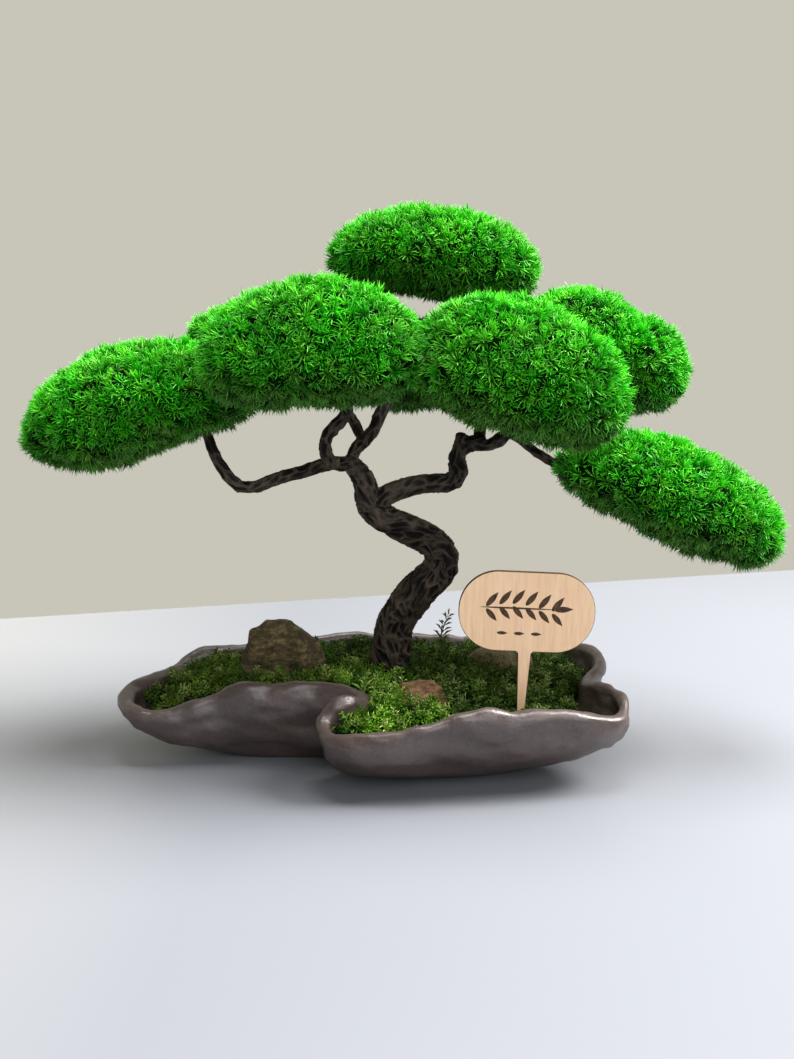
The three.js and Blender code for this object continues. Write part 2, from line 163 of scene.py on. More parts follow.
class Finish:
    """A material being built: its nodes, its links and its shader."""

    def __init__(self, name, **constants):
        self.material = bpy.data.materials.new(name)
        self.material.use_nodes = True
        self.nodes = self.material.node_tree.nodes
        self.links = self.material.node_tree.links
        self.shader = self.nodes["Principled BSDF"]
        for socket, value in constants.items():
            self.shader.inputs[socket.replace("_", " ")].default_value = value

    def place(self, stretch=(1, 1, 1), turn=(0, 0, 0)):
        coordinates = self.nodes.new("ShaderNodeTexCoord")
        mapping = self.nodes.new("ShaderNodeMapping")
        mapping.inputs["Scale"].default_value = stretch
        mapping.inputs["Rotation"].default_value = turn
        self.links.new(coordinates.outputs["Object"], mapping.inputs["Vector"])
        return mapping.outputs["Vector"]

    def noise(self, scale, detail=4, roughness=0.6, at=None):
        node = self.nodes.new("ShaderNodeTexNoise")
        node.inputs["Scale"].default_value = scale
        node.inputs["Detail"].default_value = detail
        node.inputs["Roughness"].default_value = roughness
        self.links.new(at or self.place(), node.inputs["Vector"])
        return node.outputs["Fac"]

    def attribute(self, name):
        node = self.nodes.new("ShaderNodeAttribute")
        node.attribute_name = name
        return node.outputs["Fac"]

    def ramp(self, value, stops):
        node = self.nodes.new("ShaderNodeValToRGB")
        elements = node.color_ramp.elements
        for element, (position, color) in zip(elements, stops):
            element.position = position
            element.color = (*color, 1)
        for position, color in stops[2:]:
            elements.new(position).color = (*color, 1)
        self.links.new(value, node.inputs["Fac"])
        return node.outputs["Color"]

    def mix(self, factor, first, second, blend="MIX"):
        node = self.nodes.new("ShaderNodeMix")
        node.data_type = "RGBA"
        node.blend_type = blend
        wanted = (("Factor", "VALUE", factor), ("A", "RGBA", first), ("B", "RGBA", second))
        for socket, kind, value in wanted:
            target = next(s for s in node.inputs if s.name == socket and s.type == kind)
            if isinstance(value, bpy.types.NodeSocket):
                self.links.new(value, target)
            else:
                target.default_value = value if kind == "VALUE" else (*value, 1)
        return next(s for s in node.outputs if s.type == "RGBA")

    def range(self, value, low, high, start=0.0):
        node = self.nodes.new("ShaderNodeMapRange")
        node.inputs["From Min"].default_value = start
        node.inputs["To Min"].default_value = low
        node.inputs["To Max"].default_value = high
        self.links.new(value, node.inputs["Value"])
        return node.outputs["Result"]

    def color(self, value):
        self.links.new(value, self.shader.inputs["Base Color"])

    def rough(self, value):
        self.links.new(value, self.shader.inputs["Roughness"])

    def bump(self, height, distance, strength=1.0):
        node = self.nodes.new("ShaderNodeBump")
        node.inputs["Strength"].default_value = strength
        node.inputs["Distance"].default_value = distance
        self.links.new(height, node.inputs["Height"])
        earlier = self.shader.inputs["Normal"].links
        if earlier:
            self.links.new(earlier[0].from_socket, node.inputs["Normal"])
        self.links.new(node.outputs["Normal"], self.shader.inputs["Normal"])


# %% [markdown]
# ## The dish
# It is unglazed brown clay, pressed into lobes by hand and rubbed smooth, so it has soft
# dents, a thick rolled rim and a satin sheen. It could be sculpted from nothing, but the
# CAD dish already has the lobes. So its triangles are joined into quads and subdivided, the
# rim is thickened, and slow noise moves the surface a little, except at the flat foot,
# which must go on standing flat. Upward faces get an attribute that makes their colour a
# little paler: a painted highlight, where the light from above falls most.

# %% Clay
clay = Finish("dark_clay", Specular_IOR_Level=0.9)
mottle = clay.noise(38, 5, 0.6)
grain = clay.noise(900, 3, 0.7)
clay_base = clay.ramp(mottle, [(0.3, (0.03, 0.0175, 0.0155)), (0.7, (0.088, 0.053, 0.047))])
clay_specks = clay.ramp(grain, [(0.35, (0.026, 0.016, 0.014)), (0.65, (0.14, 0.1, 0.09))])
# Painted highlight: faces that look up are mixed a little towards a pale clay colour.
painted_top_highlight = clay.range(clay.attribute("painted_top_highlight"), 0.0, 0.1)
clay.color(clay.mix(painted_top_highlight, clay.mix(0.3, clay_base, clay_specks), (0.25, 0.19, 0.175)))
clay.rough(clay.range(clay.noise(70, 4, 0.6), 0.26, 0.44))
clay.bump(clay.noise(160, 5, 0.65), 0.9 * MM, 0.55)
clay.bump(grain, 0.15 * MM, 0.5)

# %% The dish itself
DENT_DEPTH = 2.1 * MM
FOOT_STAYS = 3 * MM
DENTS_FADE_IN = 8 * MM
RIM_ABOVE = 14 * MM
LIP_THICKNESS = 1.3 * MM
LIP_REACH = 5 * MM


def dent(place):
    """Thumb presses of three sizes, which fade in above the foot."""
    lift = min(max((place.z - FOOT_STAYS) / DENTS_FADE_IN, 0), 1)
    squashed = Vector((place.x, place.y, 2.2 * place.z))
    large = noise.noise(squashed / (30 * MM))
    middling = 0.7 * noise.noise(squashed / (13 * MM) + Vector((9, 0, 0)))
    small = 0.24 * noise.noise(squashed / (5 * MM))
    return DENT_DEPTH * lift * (large + middling + small)


def lip_of(piece):
    """The extra thickness of the rolled rim, which fades out away from the rim's top."""
    tops = [v.co for v in piece.data.vertices if v.normal.z > 0.8 and v.co.z > RIM_ABOVE]
    rim = KDTree(len(tops))
    for i, place in enumerate(tops):
        rim.insert(place, i)
    rim.balance()
    return lambda place: LIP_THICKNESS * math.exp(-((rim.find(place)[2] / LIP_REACH) ** 2))


dish = merged_copy("pot", "dish")
bm = bmesh.new()
bm.from_mesh(dish.data)
bmesh.ops.join_triangles(
    bm, faces=bm.faces, angle_face_threshold=math.pi, angle_shape_threshold=math.pi
)
bm.to_mesh(dish.data)
bm.free()
subdivide = dish.modifiers.new("Subdivision", "SUBSURF")
subdivide.levels = subdivide.render_levels = 2
bake_modifiers(dish)
push_out(dish, lip_of(dish))
push_out(dish, dent)
# Painted highlight: how far each vertex faces up, squared, for the clay colour to follow.
painted_top_highlight = dish.data.attributes.new("painted_top_highlight", "FLOAT", "POINT")
upward = [max(vertex.normal.z, 0) ** 2 for vertex in dish.data.vertices]
painted_top_highlight.data.foreach_set("value", upward)
shade_smooth(dish)
finish_piece(dish, ["pot"], "clay", clay.material)

# %% [markdown]
# ## The soil
# It shows only in the bare lobes and between sprigs of moss. Crumbs could be scattered one
# by one, but so little shows that a fine remesh is enough: it has the vertices for noise to
# break the surface up, and the bump in the material adds the grit.

# %% Soil
earth = Finish("potting_soil", Roughness=0.95)
crumbs = earth.noise(420, 4, 0.7)
earth.color(earth.ramp(crumbs, [(0.35, (0.008, 0.005, 0.003)), (0.7, (0.06, 0.035, 0.018))]))
earth.bump(crumbs, 0.8 * MM, 0.8)


def roughen(piece, size, depth, seed=0.0):
    """Moves each vertex along its normal by noise with features of about that size."""
    shift = Vector((seed, seed, seed))
    push_out(
        piece,
        lambda place: depth
        * (noise.noise(place / size + shift) + 0.5 * noise.noise(place * 2.3 / size + shift)),
    )


soil = voxel_remesh(merged_copy("soil", "soil_bed"), 1.6 * MM, 1)
roughen(soil, 5 * MM, 0.5 * MM)
finish_piece(soil, ["soil"], "soil", earth.material)

# %% [markdown]
# ## The trunk
# Old juniper-like wood: it looks as if strands were twisted round each other, with long
# oval pits between them. The CAD trunk gives the limbs and their joins. To run the strands
# along each limb, every vertex needs to know how far along its limb it is and on which
# side. So the limbs' middle lines are repeated here, as listed points, and each
# vertex looks up the nearest step on them.

# %% The limbs' middle lines, in millimetres from the point where the trunk leaves the soil
TRUNK_FOOT = Vector((5, 0, 35))
LIMBS = {
    "trunk": [
        (4, 0, -21), (3, 0, -6), (2, 0, 5), (1.5, 0, 17), (2, 0, 30), (7.5, -1, 41),
        (17.5, -2, 53), (26, -2, 60), (29, -1, 67.5), (26, 0, 75), (16, 1, 81), (5, 1, 86),
        (-6, 0, 91.5), (-12, 0, 98), (-12.5, 0, 105), (-14, 0, 111), (-18, 0, 117), (-24, -2, 121.5),
    ],
    "left_branch": [
        (-16, 0, 116), (-24, -4, 120.5), (-35, -5, 119.5), (-45, -5, 116), (-55, -5, 113.5),
        (-68, -5, 109), (-75, -5, 106.5), (-82, -5, 109), (-88, -4, 116.5), (-93, -3, 125),
        (-96, -1, 133), (-99, 1, 144),
    ],
    "left_front_twig": [
        (-22, -1, 119), (-31, -7, 121), (-33.5, -11, 128), (-33, -13, 134), (-28.5, -15, 140),
        (-22.5, -18, 146.5), (-21, -26, 158), (-24, -32, 168),
    ],
    "back_centre_twig": [
        (-19, 1, 117), (-20, 4, 124.5), (-15.5, 6, 129.5), (-10.5, 7, 134), (-7, 8, 141),
        (-3, 12, 149), (3, 26, 158), (10, 38, 164),
    ],
    "back_left_twig": [
        (-13, 6, 130.5), (-15, 8, 133), (-18, 10, 138.5), (-21.5, 13, 144.5), (-33, 22, 156),
        (-52, 34, 168),
    ],
    "right_branch": [
        (-13, 0, 95), (-4, 2, 101), (7, 4, 105.5), (20, 5, 108.5), (33, 5, 109), (37.5, 5, 113.5),
        (36, 5, 121.5), (38, 4, 127.5), (45, 2, 130.5), (51, 0, 132),
    ],
    "stub": [(35, 4, 122), (37.5, 3.5, 128), (38.5, 2, 135.5)],
    "top_twig": [
        (43, 3, 129), (48, 7, 132), (49, 10, 138), (51, 15, 146), (54, 22, 158), (51, 28, 178),
        (44, 33, 200), (36, 37, 219),
    ],
    "right_back_twig": [(51, 15, 147), (58, 20, 154), (72, 28, 163), (90, 38, 171)],
    "right_front_twig": [
        (43, 2, 130), (50, -1, 129.5), (57, -5, 131.5), (62, -10, 137), (65, -18, 148),
        (66, -27, 158),
    ],
    "right_low_twig": [
        (55, -3, 131.5), (61, -5, 136), (66.5, -6, 135), (73, -7, 130), (81, -8, 124),
        (89, -9, 120), (100, -9, 117), (112, -9, 113),
    ],
}
STEP = 2.0  # millimetres between looked-up steps
LIMB_SHIFT = 100  # added to the distance of each next limb, so that their patterns differ


def walk(points):
    """Even steps along a line of points: (place, direction, distance so far)."""
    steps = []
    travelled = 0.0
    for start, end in zip(points[:-1], points[1:]):
        a, b = Vector(start), Vector(end)
        length = (b - a).length
        count = max(1, round(length / STEP))
        for i in range(count):
            step = a.lerp(b, i / count)
            steps.append((step, (b - a).normalized(), travelled + length * i / count))
        travelled += length
    return steps


route = []
for index, points in enumerate(LIMBS.values()):
    shift = LIMB_SHIFT * index
    route += [(TRUNK_FOOT + place, way, far + shift) for place, way, far in walk(points)]
finder = KDTree(len(route))
for i, (place, _, _) in enumerate(route):
    finder.insert(place * MM, i)
finder.balance()
print(len(route), "steps along", len(LIMBS), "limbs")

# %% [markdown]
# ## Bark
# A net of ridges with pits between them is what the borders of Voronoi cells look like, so
# the relief is the distance to the nearest border, in coordinates that run round and along
# the limb. Threads and a slow swell are added. The relief is real geometry, and the same
# height is kept as an attribute, so that the colour is dark in pits and pale on ridges:
# partly the bark's own browns, partly painted shade in the pits and a painted highlight on
# the ridges.

# %% Bark relief
STRAND_TWIST = 0.045  # radians per millimetre along the limb
PIT_WIDTH = 3.3  # millimetres, as is the next
PIT_LENGTH = 9.5
DEEPEST_BARK = 2.3 * MM


def bark_height(co):
    """(height from 0 in a pit to 1 on a ridge, radius of the limb in metres) at a point."""
    _, index, _ = finder.find(co)
    place, way, far = route[index]
    offset = co / MM - place
    far += offset.dot(way)
    out = offset - way * offset.dot(way)
    side = way.cross(Vector((0, 1, 0.2))).normalized()
    angle = math.atan2(out.dot(way.cross(side)), out.dot(side)) + STRAND_TWIST * far
    radius = out.length
    angle += 0.5 * noise.noise(Vector((far / 12, radius, 7)))
    around = Vector((math.cos(angle), math.sin(angle), 0)) * radius / PIT_WIDTH
    net = Vector((around.x, around.y, far / PIT_LENGTH))
    net += 0.3 * noise.noise_vector(net * 0.9)
    near, nearer = noise.voronoi(net)[0][:2]
    ridges = 1 - min((nearer - near) * 1.9, 1.0)
    threads = 1 - 2.2 * abs(noise.noise(Vector((around.x * 2.2, around.y * 2.2, far / 4 + 40))))
    swell = noise.noise(Vector((around.x * 0.4, around.y * 0.4, far / 17)))
    return 0.8 * ridges + 0.12 * threads + 0.25 * swell, radius * MM


def carve_bark(piece):
    mesh = piece.data
    ridge = mesh.attributes.new("ridge", "FLOAT", "POINT")
    ridge.data.foreach_set("value", [bark_height(vertex.co)[0] for vertex in mesh.vertices])

    def relief(place):
        height, radius = bark_height(place)
        return (height - 0.5) * min(0.45 * MM + 0.19 * radius, DEEPEST_BARK)

    push_out(piece, relief)


# %% Bark material
bark = Finish("old_bark", Specular_IOR_Level=0.2)
ridge_height = bark.attribute("ridge")
# Partly painted: near black in the pits as painted shade, pale brown-grey on the ridges as a painted
# highlight.
bark_base = bark.ramp(
    ridge_height,
    [(0.2, (0.003, 0.0022, 0.0014)), (0.5, (0.02, 0.0145, 0.0095)), (0.95, (0.11, 0.084, 0.06))],
)
dust = bark.ramp(bark.noise(150, 5, 0.7), [(0.35, (0.35, 0.3, 0.28)), (0.75, (1, 1, 1))])
bark.color(bark.mix(0.8, bark_base, dust, "MULTIPLY"))
bark.rough(bark.range(ridge_height, 0.8, 0.5))
bark.bump(bark.noise(700, 4, 0.7), 0.3 * MM, 0.6)

trunk = voxel_remesh(merged_copy("trunk", "bark"), 0.62 * MM, 3)
carve_bark(trunk)
shade_smooth(trunk)
finish_piece(trunk, ["trunk"], "bark", bark.material)

# %% [markdown]
# ## Needles
# A cushion of this foliage is thousands of little stars of soft needles, about six
# millimetres long. Hair would be quicker, but a hair is only a curve, and these needles
# are to be solid. So one needle is a spindle with six faces: it is thin where it starts,
# widest in the middle and sharp at its tip. Eleven of them make the upright heart of a
# star and fourteen make its rim. Both are planted thousands of times, so they have to stay
# light. An attribute called tip runs from 0 at the base to 1 at the tip, for the colour to
# follow.


# %% Spindles and tufts
def add_spindle(bm, tip_layer, start, direction, length, width, bend):
    """A closed six-faced needle from start along direction. bend moves its middle sideways."""
    direction = direction.normalized()
    side = direction.orthogonal().normalized()
    other = direction.cross(side)
    middle = start + direction * length * 0.5
    ring = []
    for i in range(3):
        angle = math.tau * i / 3
        out = side * math.cos(angle) + other * math.sin(angle)
        ring.append(bm.verts.new(middle + out * width / 2))
    base = bm.verts.new(start)
    tip = bm.verts.new(start + direction * length)
    for vertex, value in [(base, 0.0), (tip, 1.0), *((v, 0.55) for v in ring)]:
        vertex[tip_layer] = value
    bmesh.ops.convex_hull(bm, input=[base, tip, *ring])
    bmesh.ops.translate(bm, verts=ring, vec=bend)


def template(name, collection, material, build):
    """One planted shape, kept in a collection that the scene doesn't show."""
    bm = bmesh.new()
    build(bm, bm.verts.layers.float.new("tip"))
    bmesh.ops.recalc_face_normals(bm, faces=bm.faces)
    mesh = bpy.data.meshes.new(name)
    bm.to_mesh(mesh)
    bm.free()
    mesh.materials.append(material)
    collection.objects.link(bpy.data.objects.new(name, mesh))


def tuft(dice, count, lean_low, lean_high, length):
    """Needles that lean out from one point, between two angles in degrees."""

    def build(bm, tip_layer):
        start_turn = dice.uniform(0, math.tau)
        for i in range(count):
            lean = math.radians(dice.uniform(lean_low, lean_high))
            turn = start_turn + math.tau * (i + dice.uniform(-0.3, 0.3)) / count
            out = math.sin(lean)
            way = Vector((out * math.cos(turn), out * math.sin(turn), math.cos(lean)))
            reach = length * dice.uniform(0.8, 1.15)
            bow = Vector((0, 0, reach * 0.17 * math.sin(lean)))
            width = dice.uniform(0.58, 0.8) * MM
            add_spindle(bm, tip_layer, Vector((0, 0, 0)), way, reach, width, bow)

    return build


# %% Needle colour
needles = Finish("moss_needles", Roughness=0.42, Specular_IOR_Level=0.22)
tone = needles.attribute("tone")
along = needles.attribute("tip")
sky = needles.range(needles.attribute("sky"), 0.0, 1.0, -1.0)
fresh = needles.ramp(
    tone, [(0.0, (0.016, 0.56, 0.001)), (0.5, (0.04, 0.86, 0.003)), (1.0, (0.17, 1.0, 0.02))]
)
olive = needles.ramp(tone, [(0.0, (0.04, 0.26, 0.008)), (1.0, (0.22, 0.56, 0.07))])
patches = needles.ramp(needles.noise(30, 3, 0.6), [(0.4, BLACK), (0.65, grey(0.45))])
top_color = needles.mix(patches, fresh, olive)
lit = needles.ramp(sky, [(0.08, grey(0.15)), (0.32, WHITE)])
needle_color = needles.mix(lit, olive, top_color)
shade_down = needles.ramp(along, [(0.0, grey(0.02)), (0.5, grey(0.4)), (0.9, WHITE)])
# Painted highlight: the last part of each needle is mixed towards a pale green.
painted_tip_highlight = needles.ramp(along, [(0.7, BLACK), (1.0, grey(0.4))])
needle_color = needles.mix(painted_tip_highlight, needle_color, (0.36, 1.0, 0.14))
# Painted shade: stars on faces that turn sideways or down are darkened.
painted_underside_shade = needles.ramp(sky, [(0.2, grey(0.5)), (0.7, WHITE)])
needle_color = needles.mix(1.0, needle_color, painted_underside_shade, "MULTIPLY")
needles.color(needles.mix(1.0, needle_color, shade_down, "MULTIPLY"))

# Painted shade: the near-black heart stands for the shade between the stars.
heart = Finish("cushion_heart", Roughness=0.95, Specular_IOR_Level=0.1)
heart_shades = [(0.3, (0.0005, 0.006, 0.0003)), (0.7, (0.002, 0.026, 0.0008))]
heart.color(heart.ramp(heart.noise(300, 3, 0.6), heart_shades))
heart.bump(heart.noise(500, 3, 0.6), 1.0 * MM, 0.7)

# %% The two kinds of star
NEEDLE = 6.8 * MM
STAR_SHAPES = 4
dice = random.Random(11)
star_hearts = bpy.data.collections.new("star_hearts")
star_rims = bpy.data.collections.new("star_rims")
for i in range(STAR_SHAPES):
    template(f"star_heart_{i}", star_hearts, needles.material, tuft(dice, 11, 4, 34, NEEDLE))
    template(f"star_rim_{i}", star_rims, needles.material, tuft(dice, 14, 34, 74, NEEDLE))
print(STAR_SHAPES, "shapes of star, with needles of", round(NEEDLE / MM, 1), "mm")

# %% [markdown]
# ## Planting
# Copying tufts one by one in Python would be slow, so geometry nodes plant them. Points
# are spread evenly over a surface with a smallest distance between them, and each gets one
# tuft from every collection, turned and tilted a little at random and leaned towards the
# light. Each tuft also gets a random number called tone, so that its colour differs from
# its neighbours', and one called sky, which says how far up its surface faces. The tree is
# applied at once, so the piece ends as a plain mesh.


# %% The planting nodes
def planting_tree(name, collections, distance, seed, tilt, lift, sizes, steepest):
    """The node tree. Nothing is planted where the normal's z is below steepest."""
    tree = bpy.data.node_groups.new(name, "GeometryNodeTree")
    tree.interface.new_socket("Surface", in_out="INPUT", socket_type="NodeSocketGeometry")
    tree.interface.new_socket("Planted", in_out="OUTPUT", socket_type="NodeSocketGeometry")

    def add(kind, **inputs):
        node = tree.nodes.new(kind)
        for socket, value in inputs.items():
            node.inputs[socket.replace("_", " ")].default_value = value
        return node

    def chance(kind, low, high, shift):
        node = tree.nodes.new("FunctionNodeRandomValue")
        node.data_type = kind
        numbers = [s for s in node.inputs if s.enabled and s.name in ("Min", "Max")]
        numbers[0].default_value = low
        numbers[1].default_value = high
        [s for s in node.inputs if s.name == "Seed"][0].default_value = seed + shift
        return next(s for s in node.outputs if s.enabled)

    surface = tree.nodes.new("NodeGroupInput").outputs[0]
    planted = tree.nodes.new("NodeGroupOutput").inputs[0]
    points = add("GeometryNodeDistributePointsOnFaces")
    points.distribute_method = "POISSON"
    points.inputs["Distance Min"].default_value = distance
    points.inputs["Density Max"].default_value = 4 / distance**2
    points.inputs["Seed"].default_value = seed
    tree.links.new(surface, points.inputs["Mesh"])
    face_way = add("ShaderNodeSeparateXYZ")
    tree.links.new(add("GeometryNodeInputNormal").outputs[0], face_way.inputs[0])
    allowed = add("FunctionNodeCompare")
    allowed.inputs["B"].default_value = steepest
    tree.links.new(face_way.outputs["Z"], allowed.inputs["A"])
    tree.links.new(allowed.outputs[0], points.inputs["Selection"])

    lean = add("ShaderNodeVectorMath")
    lean.inputs[1].default_value = (0, 0, lift)
    tree.links.new(points.outputs["Normal"], lean.inputs[0])
    upright = add("FunctionNodeAlignRotationToVector")
    upright.axis = "Z"
    tree.links.new(lean.outputs[0], upright.inputs["Vector"])

    facing = add("ShaderNodeSeparateXYZ")
    tree.links.new(points.outputs["Normal"], facing.inputs[0])

    join = add("GeometryNodeJoinGeometry")
    tree.links.new(surface, join.inputs[0])
    for i, collection in enumerate(collections):
        turned = add("FunctionNodeRotateRotation")
        turned.rotation_space = "LOCAL"
        tree.links.new(upright.outputs[0], turned.inputs["Rotation"])
        spin = chance("FLOAT_VECTOR", (-tilt, -tilt, 0), (tilt, tilt, math.tau), 10 * i + 1)
        tree.links.new(spin, turned.inputs["Rotate By"])
        shapes = add("GeometryNodeCollectionInfo", Separate_Children=True)
        shapes.inputs["Collection"].default_value = collection
        planter = add("GeometryNodeInstanceOnPoints", Pick_Instance=True)
        tree.links.new(points.outputs["Points"], planter.inputs["Points"])
        tree.links.new(shapes.outputs[0], planter.inputs["Instance"])
        tree.links.new(turned.outputs[0], planter.inputs["Rotation"])
        pick = chance("INT", 0, len(collection.objects) - 1, 10 * i + 2)
        tree.links.new(pick, planter.inputs["Instance Index"])
        tree.links.new(chance("FLOAT", *sizes, 10 * i + 3), planter.inputs["Scale"])
        shapes_out = planter.outputs[0]
        labels = (("tone", chance("FLOAT", 0.0, 1.0, 4)), ("sky", facing.outputs["Z"]))
        for label, value in labels:
            store = add("GeometryNodeStoreNamedAttribute", Name=label)
            store.data_type = "FLOAT"
            store.domain = "INSTANCE"
            tree.links.new(shapes_out, store.inputs["Geometry"])
            tree.links.new(value, store.inputs["Value"])
            shapes_out = store.outputs[0]
        real = add("GeometryNodeRealizeInstances")
        tree.links.new(shapes_out, real.inputs[0])
        tree.links.new(real.outputs[0], join.inputs[0])
    tree.links.new(join.outputs[0], planted)
    return tree


EVERYWHERE = -2.0  # below any normal's z


def plant(piece, *settings, steepest=EVERYWHERE):
    modifier = piece.modifiers.new("Planting", "NODES")
    tree = planting_tree(f"{piece.name}_planting", *settings, steepest)
    modifier.node_group = tree
    bake_modifiers(piece)
    bpy.data.node_groups.remove(tree)


# %% [markdown]
# ## The cushions
# On the real tree a cushion is a pad of clipped twigs. Each starts as the hull of its CAD
# solid, which closes the socket that the branch goes into. It is remeshed into even faces,
# pressed in where the real pad has a hollow, shrunk by most of a needle's length and made
# lumpy, and is then planted all over. The heart stays nearly black, as the shade between
# the stars is.

# %% The cushions of foliage
CUSHIONS = [name for name in frame["nodes"] if name.startswith("foliage_")]
STAR_DISTANCE = 3.9 * MM
SHRINK = 0.72 * NEEDLE

# Where a cushion is pressed in: (share across, share up, reach, depth), the last two in mm.
DENTS = {
    "foliage_left_low": [(0.72, 0.1, 26, 7), (0.95, 0.2, 20, 6), (0.12, 0.95, 18, 3)],
    "foliage_right_back": [(0.68, 0.85, 9, 5)],
    "foliage_right_low": [(0.1, 0.95, 20, 5), (0.2, 0.25, 16, 3)],
    "foliage_left_front": [(0.0, 1.0, 22, 4), (0.5, -0.05, 30, 2)],
    "foliage_top": [(1.0, 1.0, 22, 4), (0.3, 0.0, 20, 2)],
    "foliage_right_front": [(1.0, 1.0, 24, 3)],
}


def dent_depth(spot, reach, depth, place):
    away = Vector((place.x - spot.x, 0, place.z - spot.z)).length
    return -depth * math.exp(-((away / reach) ** 2))


def cushion_heart(node, seed):
    bm = merged_bmesh(node)
    hull = bmesh.ops.convex_hull(bm, input=bm.verts)
    outer_faces = {g for g in hull["geom"] if isinstance(g, bmesh.types.BMFace)}
    bmesh.ops.delete(bm, geom=[f for f in bm.faces if f not in outer_faces], context="FACES")
    bmesh.ops.delete(bm, geom=[v for v in bm.verts if not v.link_faces], context="VERTS")
    piece = voxel_remesh(new_piece(node.replace("foliage", "cushion"), bm), 2.6 * MM, 8)
    low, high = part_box(node)
    for across, up, reach, depth in DENTS.get(node, []):
        spot = Vector((low.x + across * (high.x - low.x), 0, low.z + up * (high.z - low.z)))
        push_out(piece, partial(dent_depth, spot, reach * MM, depth * MM))
    push_out(piece, lambda place: -SHRINK)
    roughen(piece, 20 * MM, 3.0 * MM, seed)
    roughen(piece, 8 * MM, 0.9 * MM, seed + 50)
    return piece


for number, node in enumerate(sorted(CUSHIONS)):
    cushion = cushion_heart(node, 3.0 * number)
    cushion.data.materials.append(heart.material)
    plant(cushion, [star_hearts, star_rims], STAR_DISTANCE, 20 + number, 0.5, 0.22, (0.75, 1.25))
    finish_piece(cushion, [node], "foliage")

# %% [markdown]
# ## The moss on the soil
# Sheet moss is feathery: a sprig is a curved stem with short leaves in pairs, each pair
# turned from the last. The sprigs stand up from the mat at all angles. They use the same
# spindles and the same planting as the cushions, but only where the mat faces up, so that
# none comes out through the clay. The front piece is a light yellow-green and the back one
# dark, so each piece has a colour of its own.


# %% Sprigs and mats
PAIR_TURN = 1.3  # radians from one pair of leaves to the next


def sprig(dice, height, pairs, leaf, width=0.8 * MM):
    """A curved stem with pairs of leaves that get shorter towards its tip."""

    def build(bm, tip_layer):
        lean = Vector((dice.uniform(-0.4, 0.4), dice.uniform(-0.4, 0.4), 1)).normalized()
        side = lean.orthogonal().normalized()
        bow = lean.cross(side) * height * dice.uniform(0.1, 0.2)
        add_spindle(bm, tip_layer, Vector((0, 0, 0)), lean, height, 0.75 * width, bow)
        for i in range(pairs):
            share = 0.12 + 0.8 * i / pairs
            start = lean * height * share + bow * (1 - abs(2 * share - 1))
            outward = Matrix.Rotation(PAIR_TURN * i, 3, lean) @ side
            for sign in (-1, 1):
                way = outward * sign + lean * dice.uniform(0.35, 0.9)
                way -= bow.normalized() * dice.uniform(0, 0.5)
                reach = leaf * (1.2 - 0.75 * share) * dice.uniform(0.8, 1.25)
                add_spindle(bm, tip_layer, start, way, reach, width, 0.14 * reach * lean)

    return build


def moss_finish(name, dark, light, glow):
    finish = Finish(name, Roughness=0.6, Specular_IOR_Level=0.15)
    tones = finish.ramp(finish.attribute("tone"), [(0.0, dark), (0.6, light), (1.0, glow)])
    # Painted shade: each leaf and stem is darker towards its base, deep in the mat.
    shades = [(0.0, grey(0.12)), (0.55, grey(0.6)), (0.9, WHITE)]
    depth = finish.ramp(finish.attribute("tip"), shades)
    clumps = finish.ramp(finish.noise(75, 3, 0.6), [(0.38, (0.3, 0.36, 0.3)), (0.6, WHITE)])
    finish.color(finish.mix(1.0, finish.mix(1.0, tones, clumps, "MULTIPLY"), depth, "MULTIPLY"))
    return finish.material


MOSSES = {
    "moss_front": moss_finish(
        "moss_light", (0.07, 0.24, 0.005), (0.33, 0.74, 0.04), (0.85, 1.0, 0.3)
    ),
    "moss_right": moss_finish(
        "moss_mixed", (0.05, 0.12, 0.01), (0.15, 0.3, 0.03), (0.5, 0.62, 0.2)
    ),
    "moss_left": moss_finish(
        "moss_green", (0.07, 0.15, 0.01), (0.2, 0.37, 0.03), (0.5, 0.6, 0.16)
    ),
    "moss_back": moss_finish(
        "moss_dark", (0.025, 0.07, 0.006), (0.09, 0.2, 0.02), (0.26, 0.38, 0.07)
    ),
}

# %% The four mats of moss
SPRIG_DISTANCE = 2.75 * MM
SPRIG_SHAPES = 5
MAT_LOWERED = 2.5 * MM  # the sprigs make up the height

for number, (node, material) in enumerate(MOSSES.items()):
    sprigs = bpy.data.collections.new(f"{node}_sprigs")
    dice = random.Random(40 + number)
    for i in range(SPRIG_SHAPES):
        build = sprig(dice, 8.0 * MM, 6, 3.4 * MM)
        template(f"{node}_sprig_{i}", sprigs, material, build)
    mat = voxel_remesh(merged_copy(node, node + "_mat"), 1.6 * MM, 2)
    for vertex in mat.data.vertices:
        vertex.co.z -= MAT_LOWERED
    roughen(mat, 16 * MM, 2.4 * MM, number)
    # The mat takes the near-black heart too: painted shade between the sprigs.
    mat.data.materials.append(heart.material)
    plant(mat, [sprigs], SPRIG_DISTANCE, 60 + number, 1.0, 0.8, (0.7, 1.3), steepest=0.35)
    finish_piece(mat, [node], "sheet_moss")

# %% [markdown]
# ## Two shoots that stand up
# A taller, thin shoot of the same moss stands to the right of the trunk, and a shorter one
# near the front. Each is a larger sprig, set down where it grows.

# %% Tall shoots: name, whose colour, place and height in millimetres, pairs of leaves
SHOOTS = [
    ("shoot_back", "moss_left", (37, 18, 36), 36, 16),
    ("shoot_front", "moss_front", (-6, -46, 34), 14, 7),
]

